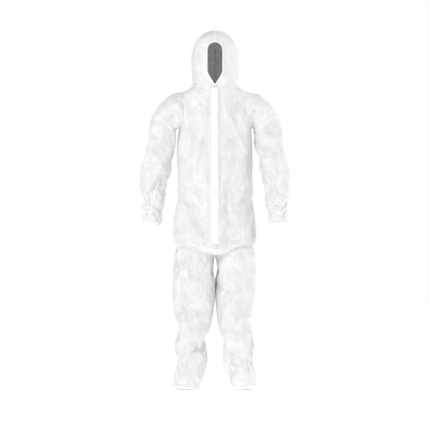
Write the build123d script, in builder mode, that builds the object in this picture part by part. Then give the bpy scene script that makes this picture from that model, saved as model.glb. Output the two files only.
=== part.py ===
"""Hooded disposable coverall in its worn shape, in millimetres.

The frame: +Z is up, the front faces -Y, and the wearer's left is +X. The origin is the middle of the neck
opening, on the wearer's shoulder line, where the wearer carries the suit. Every cloth shell is thicker than
the real cloth, so that it is a sound solid, and its outer faces lie where the cloth lies.
Sleeves and legs are nested tubes. At each bend the lower tube carries a ball-shaped band that turns inside
the upper tube, and its rim is cut back by the angle that the bend needs.
"""
from build123d import *
import math
import os

os.makedirs("parts", exist_ok=True)

# ---- cloth
wall = 2.0  # shell thickness that stands for the cloth
play = 0.5  # gap between rims that turn past each other
nest = 2.0  # radial gap between a tube and the ball that turns in it
bend_reach = 85.0  # how far a tube stays straight past its bend

# ---- trunk: height, half width and back depth of each cross-section
neck_radius = 95.0
front_lean = 0.05  # the front line comes forward this much per unit of drop
trunk_rows = [
    (0, neck_radius, neck_radius),
    (-20, 150, 102),
    (-45, 178, 112),
    (-110, 190, 125),
    (-265, 191, 130),
    (-520, 195, 118),
    (-640, 216, 130),
    (-740, 224, 140),
    (-825, 214, 135),
]
waist_row = trunk_rows[5]
crotch_row = trunk_rows[-1]
crotch_z = crotch_row[0]

# ---- shoulders: the sleeve turns about X in a round armhole whose plane is x = armhole_x
armhole_x, armhole_gap = 205.0, 2.0
shoulder_z, armhole_radius = -115.0, 78.0

# ---- sleeves: the seam where the sleeve is set in slants across the top of the arm
seam_normal, head_length = Vector(0.62, 0, -0.78).normalized(), 89.0
seam_centre = Vector(armhole_x + armhole_gap, 0, shoulder_z) + seam_normal * head_length
seam_width, seam_depth = armhole_radius * seam_normal.X, armhole_radius  # half sizes of its oval
elbow_point, elbow_radius = Vector(292, 0, -425), 78.0
wrist_point = Vector(318, 0, -690)
cuff_taper = 208.0  # from the elbow to where the sleeve starts to gather into its cuff
wrist_hole = 33.0
hem_width = 16.0
hem_thickness = 6.0
elbow_bend = 90

# ---- legs
leg_x = 107.0
leg_top_radius = 101.0
hip_point = Vector(leg_x, 0, -868)
knee_point = Vector(109, 0, -1060)
ankle_point = Vector(145, 0, -1505)
shin_taper = 345.0  # from the knee to where the leg starts to gather into its hem
ankle_hole = 60.0
hip_forward, hip_back = 35, 15
knee_bend = 80

# ---- hood: height, half width, front and back of each cross-section
hood_rows = [
    (0, 104, -104, 104),
    (60, 107, -118, 120),
    (130, 115, -126, 134),
    (175, 109, -127, 130),
    (205, 100, -125, 118),
    (238, 86, -119, 96),
    (265, 60, -82, 66),
    (280, 20, -26, 22),
]
hood_front = -118.0  # the flat face around the face opening
hood_nod, hood_tip_back = 15, 20
face_half_width = 38.0
face_top_z = 225.0
face_low_z = 85.0  # below this the opening narrows to its point
face_tip_z = 45.0

# ---- zip and storm flap, measured down the front line
zip_top, zip_end = 8.0, 776.0
coil_inner, coil_outer, coil_thickness = 1.0, 4.0, 2.6
tape_outer, tape_thickness = 16.0, 0.6
slot_half = 6.5
slider_length, slider_half_width, slider_plate = 14.0, 5.0, 1.2
flap_hinge_x, flap_free_x, flap_rise = -21.0, 19.0, 10.5
flap_hinge_rise = 1.6  # the flap turns on its outer edge, above the stitched edge beside it
flap_hem_width = 9.0


def front_y(z):
    """Where the straight front line is at a height."""
    return -neck_radius + front_lean * z


def oval_at(z, half_width, front, back, inset=0.0):
    """A filled oval cross-section at a height, drawn in by inset."""
    with BuildSketch(Plane.XY.offset(z)) as oval:
        with Locations((0, (front + back) / 2)):
            Ellipse(half_width - inset, (back - front) / 2 - inset)
    return oval.sketch


def trunk_sections(inset):
    return [oval_at(z, half, front_y(z), back, inset) for z, half, back in trunk_rows]


def hood_sections(inset):
    return [oval_at(z, half, front, back, inset) for z, half, front, back in hood_rows]


def disc_on(plane, radius):
    with BuildSketch(plane) as disc:
        Circle(radius)
    return disc.sketch


def name_and_write(builder, label):
    """Labels a finished sub-part and writes its file."""
    builder.part.label = label
    export_step(builder.part, f"parts/{label}.step")


# the local frame of the front line: x across, y up along the line, z outwards
front_plane = Plane(
    origin=(0, front_y(0), 0),
    x_dir=(1, 0, 0),
    z_dir=Vector(0, -1, front_lean).normalized(),
)
down_the_front = -front_plane.y_dir


# ---------------------------------------------------------------- trunk
def armhole_plane(side, distance=armhole_x):
    """The plane of an armhole, facing out along X."""
    return Plane(origin=(side * distance, 0, shoulder_z), x_dir=(0, 1, 0), z_dir=(side, 0, 0))


def yoke_solid(side, inset):
    """The shoulder, from inside the trunk out to the armhole. An inner one runs on past both ends."""
    root_distance, over = 120.0, 5.0 if inset else 0.0
    with BuildSketch(armhole_plane(side, root_distance)) as root:
        Ellipse(82 - inset, 85 - inset)
    with BuildPart() as yoke:
        loft([root.sketch, disc_on(armhole_plane(side), armhole_radius - inset)], ruled=True)
        if inset:
            extrude(disc_on(armhole_plane(side), armhole_radius - inset), amount=over)
            extrude(root.sketch, amount=-60)
    return yoke.part


with BuildPart() as trunk:
    loft(trunk_sections(0), ruled=True)
    add(yoke_solid(1, 0))
    add(yoke_solid(-1, 0))
    loft(trunk_sections(wall), ruled=True, mode=Mode.SUBTRACT)
    add(yoke_solid(1, wall), mode=Mode.SUBTRACT)
    add(yoke_solid(-1, wall), mode=Mode.SUBTRACT)
    # the slot that the zip closes
    with BuildSketch(front_plane) as slot:
        with Locations((0, -(zip_top + zip_end) / 2)):
            Rectangle(2 * slot_half, zip_end - zip_top + 8)
    extrude(slot.sketch, amount=20, both=True, mode=Mode.SUBTRACT)

for side_name, side_keep in (("left", Keep.TOP), ("right", Keep.BOTTOM)):
    for face_name, face_keep in (("front", Keep.TOP), ("back", Keep.BOTTOM)):
        with BuildPart() as panel:
            add(trunk.part)
            split(bisect_by=Plane.YZ, keep=side_keep)
            split(bisect_by=Plane.XZ, keep=face_keep)
        name_and_write(panel, f"{side_name}_{face_name}_panel")

# the collar is a ball-shaped band, so that the hood can turn round it
with BuildPart() as collar:
    Sphere(neck_radius)
    Sphere(neck_radius - wall, mode=Mode.SUBTRACT)
    Cylinder(neck_radius * 0.85, 4 * neck_radius, mode=Mode.SUBTRACT)
    split(bisect_by=Plane.XY, keep=Keep.TOP)
name_and_write(collar, "collar")

# the gusset closes the trunk between and around the legs
with BuildPart() as gusset:
    with BuildSketch(Plane.XY.offset(crotch_z)) as floor_sketch:
        add(oval_at(0, crotch_row[1], front_y(crotch_z), crotch_row[2]))
        with Locations((leg_x, 0), (-leg_x, 0)):
            Circle(leg_top_radius, mode=Mode.SUBTRACT)
    extrude(amount=-wall)
name_and_write(gusset, "crotch_gusset")

# the waist elastic lies inside the back
with BuildPart() as waist_elastic:
    waist_z, waist_half, waist_back = waist_row
    with BuildSketch(Plane.XY.offset(waist_z + 2)) as band:
        add(oval_at(0, waist_half, front_y(waist_z), waist_back, wall + 1.0))
        add(oval_at(0, waist_half, front_y(waist_z), waist_back, wall + 2.5), mode=Mode.SUBTRACT)
        with Locations((0, -200)):
            Rectangle(600, 440, mode=Mode.SUBTRACT)
    extrude(amount=18)
name_and_write(waist_elastic, "waist_elastic")

# a blank size label hangs inside the back of the neck
with BuildPart() as size_label:
    with Locations((0, 92, -42)):
        Box(42, 0.6, 36)
name_and_write(size_label, "size_label")


# ---------------------------------------------------------------- tubes that bend
def limb_plane(point, axis):
    """A frame at a point of a limb: z up along the limb, y to the back."""
    up = -axis
    return Plane(origin=point, x_dir=Vector(0, 1, 0).cross(up), z_dir=up)


def bend_wedge(plane, front_angle, back_angle, above):
    """A block beyond a V-shaped rim at a bend. It takes away what the other tube needs to turn.

    The V leaves the bend's level by front_angle towards the front and back_angle towards the back.
    """
    reach, sign = 400, 1 if above else -1
    drop = {-1: math.tan(math.radians(front_angle)), 1: math.tan(math.radians(back_angle))}
    cut = Plane(origin=plane.origin, x_dir=plane.y_dir, z_dir=plane.x_dir)
    with BuildPart(mode=Mode.PRIVATE) as wedge:
        with BuildSketch(cut) as outline:
            with BuildLine():
                Polyline(
                    (0, -sign * play / 2),
                    (-reach, -sign * (play / 2 + drop[-1] * reach)),
                    (-reach, sign * reach),
                    (reach, sign * reach),
                    (reach, -sign * (play / 2 + drop[1] * reach)),
                    close=True,
                )
            make_face()
        extrude(outline.sketch, amount=reach, both=True)
    return wedge.part


def turned_shell(plane, profile):
    """A shell of revolution about the plane's z axis. The profile lists (height, outer radius) going down."""
    outer = [(radius, height) for height, radius in profile]
    inner = [(radius - wall, height) for radius, height in reversed(outer)]
    with BuildPart() as shell:
        with BuildSketch(Plane(origin=plane.origin, x_dir=plane.x_dir, z_dir=-plane.y_dir)) as half:
            with BuildLine():
                Polyline(*outer, *inner, close=True)
            make_face()
        revolve(half.sketch, axis=Axis(plane.origin, plane.z_dir))
    return shell.part


def ball_band(plane, radius, cover):
    """The band of cloth inside a bend. It reaches cover degrees above and below the bend's level."""
    radius -= wall / 4  # so that it leaves the tube through the middle of its wall
    opening = radius * math.cos(math.radians(cover))
    with BuildPart() as band:
        with Locations(plane.location):
            Sphere(radius)
            Sphere(radius - wall, mode=Mode.SUBTRACT)
            Cylinder(opening, 4 * radius, mode=Mode.SUBTRACT)
    return band.part


def ring_section(plane, low_radius, high_radius, low, high):
    """A solid ring about the plane's z axis, between two radii and two heights."""
    with BuildPart() as ring:
        with BuildSketch(plane.offset(low)) as section:
            Circle(high_radius)
            Circle(low_radius, mode=Mode.SUBTRACT)
        extrude(section.sketch, amount=high - low)
    return ring.part


def make_hem(plane, hole, label):
    """A hem at the end of a limb, with the elastic in its channel. The plane lies on the hem's lower edge."""
    outside = hole + hem_thickness
    with BuildPart() as hem:
        add(ring_section(plane, hole, outside, 0, hem_width))
        add(ring_section(plane, hole + 1.5, outside - 1.5, 1.5, hem_width - 1.5), mode=Mode.SUBTRACT)
    name_and_write(hem, f"{label}_hem")
    with BuildPart() as elastic:
        add(ring_section(plane, hole + 1.8, outside - 1.8, 1.8, hem_width - 1.8))
    name_and_write(elastic, f"{label}_elastic")


def mirrored(point, side):
    return Vector(side * point.X, point.Y, point.Z)


# ---------------------------------------------------------------- sleeves
for side, side_name in ((1, "left"), (-1, "right")):
    elbow, wrist = mirrored(elbow_point, side), mirrored(wrist_point, side)
    forearm = (wrist - elbow).length
    elbow_plane = limb_plane(elbow, (wrist - elbow).normalized())
    seam_plane = Plane(origin=mirrored(seam_centre, side), x_dir=(0, 1, 0),
                       z_dir=mirrored(seam_normal, side))
    start_plane = armhole_plane(side, armhole_x + armhole_gap)
    end_plane = Plane(origin=elbow, x_dir=(0, 1, 0), z_dir=-elbow_plane.z_dir)
    elbow_v = elbow_bend / 2 + 0.5

    # the head of the sleeve hangs from the armhole down to the slanting seam
    with BuildPart() as head:
        with BuildSketch(start_plane) as round_end:
            Circle(armhole_radius)
            Circle(armhole_radius - wall / seam_normal.X, mode=Mode.SUBTRACT)
        extrude(round_end.sketch, amount=2 * head_length, dir=seam_plane.z_dir)
        split(bisect_by=seam_plane, keep=Keep.BOTTOM)
    name_and_write(head, f"{side_name}_sleeve_head")

    with BuildPart() as seam:
        with BuildSketch(seam_plane.offset(-1.5)) as oval_ring:
            Ellipse(seam_depth + 3.5, seam_width + 3.5)
            Ellipse(seam_depth + 1.5, seam_width + 1.5, mode=Mode.SUBTRACT)
        extrude(oval_ring.sketch, amount=3)
    name_and_write(seam, f"{side_name}_armhole_seam")

    with BuildPart() as upper:
        for inset, way in ((0, Mode.ADD), (wall, Mode.SUBTRACT)):
            with BuildSketch(seam_plane) as at_seam:
                Ellipse(seam_depth - inset, seam_width - inset)
            loft([at_seam.sketch, disc_on(end_plane, elbow_radius - inset)], ruled=True, mode=way)
        add(bend_wedge(elbow_plane, elbow_v, 0, above=False), mode=Mode.SUBTRACT)
    name_and_write(upper, f"{side_name}_upper_sleeve")

    lower_radius = elbow_radius - wall - nest
    profile = [(0, lower_radius), (-bend_reach, lower_radius), (-cuff_taper, lower_radius - 16),
               (hem_width - forearm, wrist_hole + 5)]
    with BuildPart() as lower:
        add(turned_shell(elbow_plane, profile))
        add(bend_wedge(elbow_plane, elbow_v, 0, above=True), mode=Mode.SUBTRACT)
        add(ball_band(elbow_plane, lower_radius, elbow_v + 4))
    name_and_write(lower, f"{side_name}_lower_sleeve")
    make_hem(elbow_plane.offset(-forearm), wrist_hole, f"{side_name}_wrist")

# ---------------------------------------------------------------- legs
for side, side_name in ((1, "left"), (-1, "right")):
    hip, knee, ankle = (mirrored(point, side) for point in (hip_point, knee_point, ankle_point))
    thigh, shin = (knee - hip).length, (ankle - knee).length
    hip_plane = limb_plane(hip, (knee - hip).normalized())
    knee_plane = limb_plane(knee, (ankle - knee).normalized())
    thigh_radius = leg_top_radius - wall - nest
    shin_radius = thigh_radius - wall - nest
    knee_v = knee_bend / 2 + 0.5

    with BuildPart() as leg_top:
        top_plane = Plane(origin=(side * leg_x, 0, hip_point.Z + play / 2))
        top_length = crotch_z - top_plane.origin.Z
        add(ring_section(top_plane, leg_top_radius - wall, leg_top_radius, 0, top_length))
    name_and_write(leg_top, f"{side_name}_leg_top")

    with BuildPart() as upper:
        add(turned_shell(hip_plane, [(0, thigh_radius), (-thigh, thigh_radius)]))
        add(bend_wedge(hip_plane, hip_forward + 1, hip_back + 1, above=True), mode=Mode.SUBTRACT)
        add(bend_wedge(knee_plane, 0, knee_v, above=False), mode=Mode.SUBTRACT)
        add(ball_band(hip_plane, thigh_radius, hip_forward + 5))
    name_and_write(upper, f"{side_name}_upper_leg")

    profile = [(0, shin_radius), (-bend_reach, shin_radius), (-shin_taper, shin_radius - 6),
               (hem_width - shin, ankle_hole + 6)]
    with BuildPart() as lower:
        add(turned_shell(knee_plane, profile))
        add(bend_wedge(knee_plane, 0, knee_v, above=True), mode=Mode.SUBTRACT)
        add(ball_band(knee_plane, shin_radius, knee_v + 4))
    name_and_write(lower, f"{side_name}_lower_leg")
    make_hem(knee_plane.offset(-shin), ankle_hole, f"{side_name}_ankle")


# ---------------------------------------------------------------- hood
face_plane = Plane(origin=(0, hood_front, 0), x_dir=(1, 0, 0), z_dir=(0, -1, 0))


def face_outline(grow):
    """The teardrop outline of the face opening, grown outwards."""
    half = face_half_width
    top_centre = face_top_z - half
    with BuildSketch(face_plane) as outline:
        with BuildLine():
            Line((0, face_tip_z), (half, face_low_z))
            Line((half, face_low_z), (half, top_centre))
            ThreePointArc((half, top_centre), (0, face_top_z), (-half, top_centre))
            Line((-half, top_centre), (-half, face_low_z))
            Line((-half, face_low_z), (0, face_tip_z))
        make_face()
        if grow:
            offset(amount=grow, kind=Kind.ARC)
    return outline.sketch


def hood_solid(inset):
    """The hood's outer form, with its flat face, drawn in by inset."""
    with BuildPart() as form:
        loft(hood_sections(inset), ruled=True)
        with Locations((0, hood_front + inset - 200, 150)):
            Box(600, 400, 600, mode=Mode.SUBTRACT)
    return form.part


neck = Plane(origin=(0, 0, 0), x_dir=(1, 0, 0), z_dir=(0, 0, 1))
with BuildPart() as hood:
    add(hood_solid(0))
    add(Pos(0, 0, -0.5 * wall) * hood_solid(wall), mode=Mode.SUBTRACT)
    extrude(face_outline(0), amount=30, both=True, mode=Mode.SUBTRACT)
    add(bend_wedge(neck, hood_nod + 1, hood_tip_back + 1, above=False), mode=Mode.SUBTRACT)

for side_name, side_keep in (("left", Keep.TOP), ("right", Keep.BOTTOM)):
    with BuildPart() as panel:
        add(hood.part)
        split(bisect_by=Plane.YZ, keep=side_keep)
    name_and_write(panel, f"{side_name}_hood_panel")

face_hem_width, face_hem_depth = 8.0, 4.0
with BuildPart() as face_hem:
    extrude(face_outline(face_hem_width), amount=face_hem_depth)
    extrude(face_outline(0), amount=face_hem_depth, mode=Mode.SUBTRACT)
    # the channel is open towards the hood, which closes it
    with BuildSketch(face_plane) as channel:
        add(face_outline(face_hem_width - 1.5))
        add(face_outline(1.5), mode=Mode.SUBTRACT)
    extrude(channel.sketch, amount=face_hem_depth - 1, mode=Mode.SUBTRACT)
name_and_write(face_hem, "hood_face_hem")

with BuildPart() as face_elastic:
    extrude(face_outline(face_hem_width - 2), amount=face_hem_depth - 1.4)
    extrude(face_outline(2), amount=face_hem_depth - 1.4, mode=Mode.SUBTRACT)
name_and_write(face_elastic, "hood_face_elastic")


# ---------------------------------------------------------------- zip
def strip(low_x, high_x, start, end, low_n, high_n):
    """A strip on the front: across from low_x to high_x, down from start to end, and out from low_n to high_n."""
    with BuildPart(mode=Mode.PRIVATE) as made:
        with BuildSketch(front_plane.offset(low_n)) as outline:
            with Locations(((low_x + high_x) / 2, -(start + end) / 2)):
                Rectangle(high_x - low_x, end - start)
        extrude(outline.sketch, amount=high_n - low_n)
    return made.part


tape_low = 0.1
coil_low = tape_low + tape_thickness / 2 - coil_thickness / 2
coil_high = coil_low + coil_thickness
for side, side_name in ((1, "left"), (-1, "right")):
    with BuildPart() as tape:
        edges = sorted((side * coil_outer, side * tape_outer))
        add(strip(*edges, zip_top, zip_end, tape_low, tape_low + tape_thickness))
    name_and_write(tape, f"{side_name}_zip_tape")
    with BuildPart() as coil:
        edges = sorted((side * coil_inner, side * coil_outer))
        add(strip(*edges, zip_top + 4, zip_end - 6, coil_low, coil_high))
    name_and_write(coil, f"{side_name}_zip_coil")

with BuildPart() as top_stops:
    for side in (1, -1):
        edges = sorted((side * coil_inner, side * coil_outer))
        add(strip(*edges, zip_top + 1, zip_top + 4, coil_low - 0.2, coil_high + 0.2))
name_and_write(top_stops, "zip_top_stops")

with BuildPart() as bottom_stop:
    add(strip(-coil_outer, coil_outer, zip_end - 6, zip_end - 1, coil_low - 0.2, coil_high + 0.2))
name_and_write(bottom_stop, "zip_bottom_stop")

slider_start = zip_top + 5.0
slider_end = slider_start + slider_length
top_plate = coil_high + play
bottom_plate = coil_low - play
bar_drop, bar_height, bar_radius = slider_start + 4.0, top_plate + slider_plate + 1.9, 0.55
ear_inner, ear_outer = 1.9, 2.7
with BuildPart() as slider:
    add(strip(-slider_half_width, slider_half_width, slider_start, slider_end,
              top_plate, top_plate + slider_plate))
    add(strip(-slider_half_width, slider_half_width, slider_start, slider_end,
              bottom_plate - slider_plate, bottom_plate))
    add(strip(-0.5, 0.5, slider_start + 2, slider_end - 4, bottom_plate, top_plate))
    for side in (1, -1):
        edges = sorted((side * ear_inner, side * ear_outer))
        add(strip(*edges, bar_drop - 1.5, bar_drop + 1.5, top_plate + slider_plate, bar_height + 0.8))
    with Locations(front_plane * Pos(0, -bar_drop, bar_height) * Rot(0, 90, 0)):
        Cylinder(bar_radius, 2 * ear_outer)
name_and_write(slider, "zip_slider")

puller_thickness, puller_half_width, puller_length = 1.2, 3.0, 22.0
eye_radius, eye_hole = 1.5, 0.95
with BuildPart() as puller:
    add(strip(-1.6, 1.6, bar_drop + 0.9, bar_drop + 4.0,
              bar_height - puller_thickness / 2, bar_height + puller_thickness / 2))
    add(strip(-puller_half_width, puller_half_width, bar_drop + 3.0, bar_drop + puller_length,
              bar_height - puller_thickness / 2, bar_height + puller_thickness / 2))
    with Locations(front_plane * Pos(0, -bar_drop, bar_height) * Rot(0, 90, 0)):
        Cylinder(eye_radius, 3.2)
        Cylinder(eye_hole, 3.2, mode=Mode.SUBTRACT)
    with Locations(front_plane * Pos(0, -(bar_drop + puller_length - 5), bar_height)):
        Cylinder(1.5, 4, mode=Mode.SUBTRACT)
name_and_write(puller, "zip_puller")

# ---------------------------------------------------------------- storm flap
flap_thickness = 1.0
flap_start, flap_length = zip_top - 1.0, zip_end - zip_top + 4.0
flap_plane = Plane(
    origin=front_plane.from_local_coords((0, -flap_start, 0)),
    x_dir=front_plane.x_dir,
    z_dir=down_the_front,
)
with BuildPart() as flap:
    with BuildSketch(flap_plane) as arch:
        with BuildLine():
            ThreePointArc((flap_hinge_x, flap_hinge_rise), (0, flap_rise + flap_thickness), (flap_free_x, 1.4))
            Line((flap_free_x, 1.4), (flap_free_x - 1, 0.4))
            ThreePointArc((flap_free_x - 1, 0.4), (0, flap_rise), (flap_hinge_x + 1, 0.6))
            Line((flap_hinge_x + 1, 0.6), (flap_hinge_x, flap_hinge_rise))
        make_face()
    extrude(arch.sketch, amount=flap_length)
name_and_write(flap, "storm_flap")

with BuildPart() as flap_hem:
    add(strip(flap_hinge_x - play - flap_hem_width, flap_hinge_x - play,
              flap_start, flap_start + flap_length, 0.3, 0.3 + flap_thickness))
name_and_write(flap_hem, "flap_stitched_edge")

for title, start, end in (
    ("hinge across the forearm", elbow_point, wrist_point),
    ("hinge across the shin", knee_point, ankle_point),
    ("hinge across the thigh", hip_point, knee_point),
):
    along = (end - start).normalized()
    print(title, [round(v, 6) for v in (along.Z, 0, -along.X)])
print("down the front", [round(v, 6) for v in down_the_front])
print("puller bar", [round(v, 3) for v in front_plane.from_local_coords((0, -bar_drop, bar_height))])
flap_hinge = front_plane.from_local_coords((flap_hinge_x, -flap_start, flap_hinge_rise))
print("flap hinge", [round(v, 3) for v in flap_hinge])
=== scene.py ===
import math

import bmesh
import bpy
from mathutils import Matrix, Vector, noise
from mathutils.bvhtree import BVHTree


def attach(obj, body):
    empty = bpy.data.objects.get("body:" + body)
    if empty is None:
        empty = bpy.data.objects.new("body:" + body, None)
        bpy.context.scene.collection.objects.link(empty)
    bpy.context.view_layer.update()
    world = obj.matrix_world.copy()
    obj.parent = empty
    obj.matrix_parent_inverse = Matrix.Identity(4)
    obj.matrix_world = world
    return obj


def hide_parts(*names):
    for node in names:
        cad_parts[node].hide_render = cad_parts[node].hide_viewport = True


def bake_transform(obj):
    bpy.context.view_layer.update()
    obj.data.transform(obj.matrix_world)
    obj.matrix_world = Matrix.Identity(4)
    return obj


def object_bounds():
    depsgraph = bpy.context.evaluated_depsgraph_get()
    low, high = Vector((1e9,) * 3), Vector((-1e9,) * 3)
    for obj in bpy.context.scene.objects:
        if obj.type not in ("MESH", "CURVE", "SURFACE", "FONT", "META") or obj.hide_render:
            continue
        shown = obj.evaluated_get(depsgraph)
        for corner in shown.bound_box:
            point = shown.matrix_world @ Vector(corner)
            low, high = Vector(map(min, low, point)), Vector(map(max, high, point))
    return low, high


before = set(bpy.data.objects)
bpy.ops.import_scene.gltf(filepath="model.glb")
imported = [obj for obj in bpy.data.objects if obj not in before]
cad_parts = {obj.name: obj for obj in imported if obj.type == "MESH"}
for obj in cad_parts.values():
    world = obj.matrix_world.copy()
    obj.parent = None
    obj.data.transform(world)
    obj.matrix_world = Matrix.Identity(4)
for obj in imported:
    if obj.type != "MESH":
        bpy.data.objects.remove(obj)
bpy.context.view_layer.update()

mm = 0.001
sides = {"left": 1, "right": -1}
panelNames = [(side, kind) for side in sides
              for kind in ("hood", "sleeve", "front", "back", "hipFront", "hipBack", "leg")]

# the suit's own landmarks, in the CAD frame: the shoulder line is at z = 0
suit = {
    "voxel": 9 * mm,
    "frontTop": -95 * mm,  # the zip's line at the neck, and how far it leans out per unit of drop
    "frontLean": 0.05,
    "slitHalf": 5.5 * mm,
    "slitTop": -6 * mm,
    "slitEnd": -783 * mm,
    "zipBandHalf": 24 * mm,
    "neckSeam": 4 * mm,
    "waistRing": -470 * mm,
    "legRing": -940 * mm,
    "crotch": -830 * mm,
}


def frontY(z):
    return suit["frontTop"] + suit["frontLean"] * z


def vec(x, y, z):
    return Vector((x * mm, y * mm, z * mm))


# ---- helpers for meshes
def newPiece(name, bm):
    mesh = bpy.data.meshes.new(name)
    bm.to_mesh(mesh)
    bm.free()
    piece = bpy.data.objects.new(name, mesh)
    bpy.context.scene.collection.objects.link(piece)
    return piece


def dropPiece(piece):
    mesh = piece.data
    bpy.data.objects.remove(piece, do_unlink=True)
    bpy.data.meshes.remove(mesh)


def applyModifiers(piece):
    graph = bpy.context.evaluated_depsgraph_get()
    baked = bpy.data.meshes.new_from_object(piece.evaluated_get(graph), depsgraph=graph)
    piece.modifiers.clear()
    old = piece.data
    piece.data = baked
    bpy.data.meshes.remove(old)
    return piece


def ringMatrix(centre, normal, width, depth):
    # an oval ring facing along normal, depth mm each way along Y and width mm each way across it
    normal = Vector(normal).normalized()
    across = Vector((0, 1, 0)).cross(normal).normalized()
    turn = Matrix((across, Vector((0, 1, 0)), normal)).transposed().to_4x4()
    return Matrix.Translation(centre) @ turn @ Matrix.Diagonal((width, depth, 1, 1))


def addTube(bm, rings, segments=48):
    # each ring is (centre, normal, half width, half depth); both ends are capped
    loops = []
    for centre, normal, width, depth in rings:
        made = bmesh.ops.create_circle(bm, segments=segments, radius=1,
                                       matrix=ringMatrix(centre, normal, width, depth))
        verts = set(made["verts"])
        loops.append([e for e in bm.edges if e.verts[0] in verts and e.verts[1] in verts])
    for first, second in zip(loops, loops[1:]):
        bmesh.ops.bridge_loops(bm, edges=first + second)
    for loop in (loops[0], loops[-1]):
        bmesh.ops.contextual_create(bm, geom=loop)


def remeshed(name, bm, voxel, smooth):
    bmesh.ops.recalc_face_normals(bm, faces=bm.faces)
    piece = newPiece(name, bm)
    mod = piece.modifiers.new("voxels", "REMESH")
    mod.mode = "VOXEL"
    mod.voxel_size = voxel
    applyModifiers(piece)
    bm = bmesh.new()
    bm.from_mesh(piece.data)
    # the remesh works in parallel, so its points are put in one order for the same result each run
    order = Vector((0.577, 1.334, 17.71))
    bm.verts.sort(key=lambda v: v.co.dot(order))
    bm.faces.sort(key=lambda f: f.calc_center_median().dot(order))
    bm.edges.sort(key=lambda e: (e.verts[0].co + e.verts[1].co).dot(order))
    for _ in range(smooth):
        bmesh.ops.smooth_vert(bm, verts=bm.verts, factor=0.5, use_axis_x=True, use_axis_y=True, use_axis_z=True)
    bm.to_mesh(piece.data)
    bm.free()
    return piece


# ---- the suit as it is cut, slightly long in the sleeves and legs
cutShape = {
    # height, half width, back depth of the body; the front follows the zip's line
    "body": [(12, 98, 96), (-8, 122, 100), (-24, 156, 103), (-48, 182, 112), (-110, 192, 125), (-265, 193, 130),
             (-400, 194, 124), (-520, 198, 120), (-640, 214, 130), (-740, 221, 134), (-790, 215, -132, 126),
             (-826, 209, -121, 114), (-850, 130, -78, 70)],
    # height, half width, front, back of the hood
    "hood": [(-12, 100, -92, 92), (0, 110, -99, 101), (30, 113, -108, 108), (60, 114, -116, 118), (130, 119, -121, 134),
             (175, 114, -121, 130), (205, 105, -119, 119), (235, 89, -108, 98), (262, 62, -78, 68), (278, 30, -36, 30)],
    # centre x and z, normal x and z, half width, half depth of a sleeve
    "sleeve": [(165, -110, 1, 0, 76, 82), (205, -118, 0.97, -0.25, 74, 80), (240, -146, 0.82, -0.57, 62, 79),
               (263, -186, 0.6, -0.8, 54, 78), (276, -250, 0.3, -0.95, 61, 78), (284, -330, 0.15, -0.99, 70, 78),
               (292, -425, 0.1, -0.995, 75, 77), (306, -545, 0.1, -0.995, 69, 73), (312, -620, 0.1, -0.995, 60, 64),
               (320, -700, 0.1, -0.995, 54, 56), (327, -768, 0.1, -0.995, 52, 52)],
    # centre x and z, half width, half depth of a leg
    "leg": [(107, -775, 94, 98), (107, -838, 99, 112), (107, -900, 97, 110), (109, -1060, 96, 102), (114, -1200, 93, 96),
            (123, -1330, 90, 92), (133, -1430, 86, 88), (141, -1510, 78, 80), (146, -1570, 72, 72)],
    "wristLength": 60 * mm,  # how far each end is pushed up, so that the cloth above it folds
    "ankleLength": 46 * mm,
    "wristHem": (41.5 * mm, 35 * mm),  # half width and half depth of the gathered ends
    "ankleHem": (65 * mm, 63 * mm),
}
wearerShape = {
    "body": [(10, 60, -60, 60), (-25, 105, -66, 75), (-60, 172, -78, 92), (-120, 172, -92, 105), (-265, 160, -98, 100),
             (-450, 140, -84, 84), (-640, 168, -90, 108), (-740, 176, -88, 118), (-820, 170, -80, 110)],
    "head": [(-10, 58, -58, 58), (60, 66, -66, 80), (110, 84, -94, 98), (150, 98, -100, 112), (190, 100, -100, 112),
             (235, 78, -84, 86), (262, 46, -52, 52)],
    "arm": [(150, -92, 1, 0, 62, 62), (200, -100, 0.9, -0.4, 62, 62), (238, -150, 0.6, -0.8, 54, 58),
            (262, -260, 0.2, -0.98, 48, 50), (286, -425, 0.1, -0.995, 44, 46), (306, -560, 0.1, -0.995, 38, 40),
            (318, -700, 0.1, -0.995, 28, 30), (324, -760, 0.1, -0.995, 26, 28)],
    "leg": [(95, -770, 84, 92), (100, -900, 80, 84), (106, -1060, 60, 66), (118, -1240, 54, 60), (140, -1480, 44, 50),
            (146, -1590, 42, 46)],
}


def bodyRings(rows, front=None):
    rings = []
    for row in rows:
        z, half, back = row[0], row[1], row[-1]
        ahead = row[2] if len(row) == 4 else frontY(z * mm) / mm
        rings.append((vec(0, (ahead + back) / 2, z), (0, 0, 1), half * mm, (back - ahead) / 2 * mm))
    return rings


def limbRings(rows, side, upright):
    rings = []
    for row in rows:
        if upright:
            x, z, width, depth = row
            normal = (0, 0, -1)
        else:
            x, z, nx, nz, width, depth = row
            normal = (side * nx, 0, nz)
        rings.append((vec(side * x, 0, z), normal, width * mm, depth * mm))
    return rings


def solidForm(name, shape, trunk, headRows, limbRows, voxel, smooth):
    bm = bmesh.new()
    addTube(bm, bodyRings(trunk), 64)
    addTube(bm, bodyRings(headRows), 48)
    for side in (1, -1):
        addTube(bm, limbRings(limbRows[0], side, False))
        addTube(bm, limbRings(limbRows[1], side, True))
    return remeshed(name, bm, voxel, smooth)


def faceHalf(z):
    # half the width of the face opening at a height
    top, half, low, tip = 216 * mm, 40 * mm, 66 * mm, 5 * mm
    middle = top - half
    if z > middle:
        return half * math.sqrt(max(0, 1 - ((z - middle) / half) ** 2))
    if z > low:
        return half
    return half * max(0, (z - tip) / (low - tip)) ** 0.8


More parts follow.
